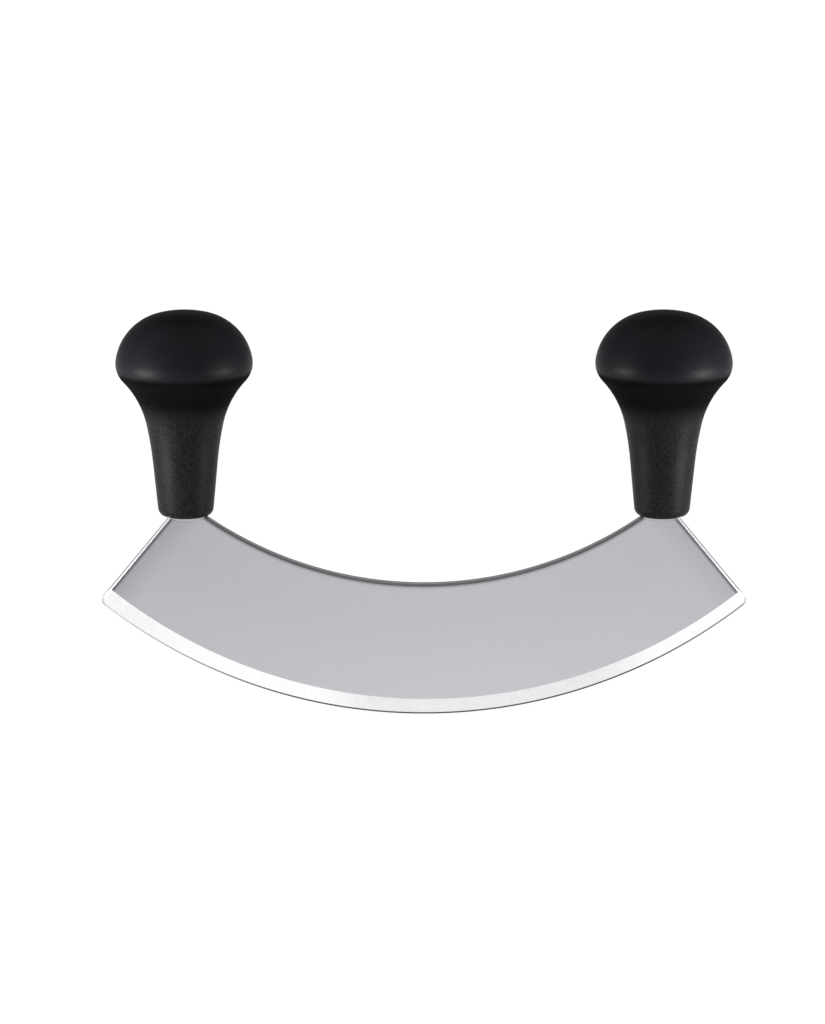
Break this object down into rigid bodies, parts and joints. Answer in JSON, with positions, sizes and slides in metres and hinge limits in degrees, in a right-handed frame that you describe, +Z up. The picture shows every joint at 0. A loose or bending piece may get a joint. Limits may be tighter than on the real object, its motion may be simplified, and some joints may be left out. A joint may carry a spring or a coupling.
{
  "type": "mezzaluna",
  "caption": "Two-handled mincing knife: a curved steel blade with a ground bevel, rocked on a board by moulded black knobs.",
  "frame": {"origin": "lowest point of the cutting edge, in the middle of the blade's length and thickness, with the blade upright", "axes": "+X along the blade towards the right handle, +Y through the blade's thickness away from the viewer, +Z up from the cutting edge to the knobs"},
  "size_m": [0.1804, 0.038, 0.1149],
  "materials": {
    "blade_steel": "satin faces, bright ground bevel",
    "handle_skin": "fine matt moulded grain, black",
    "handle_core": "plain moulded, hidden"
  },
  "bodies": {
    "root": {"blade": "blade_steel", "left_core": "handle_core", "left_grip": "handle_skin", "right_core": "handle_core", "right_grip": "handle_skin"}
  },
  "joints": []
}
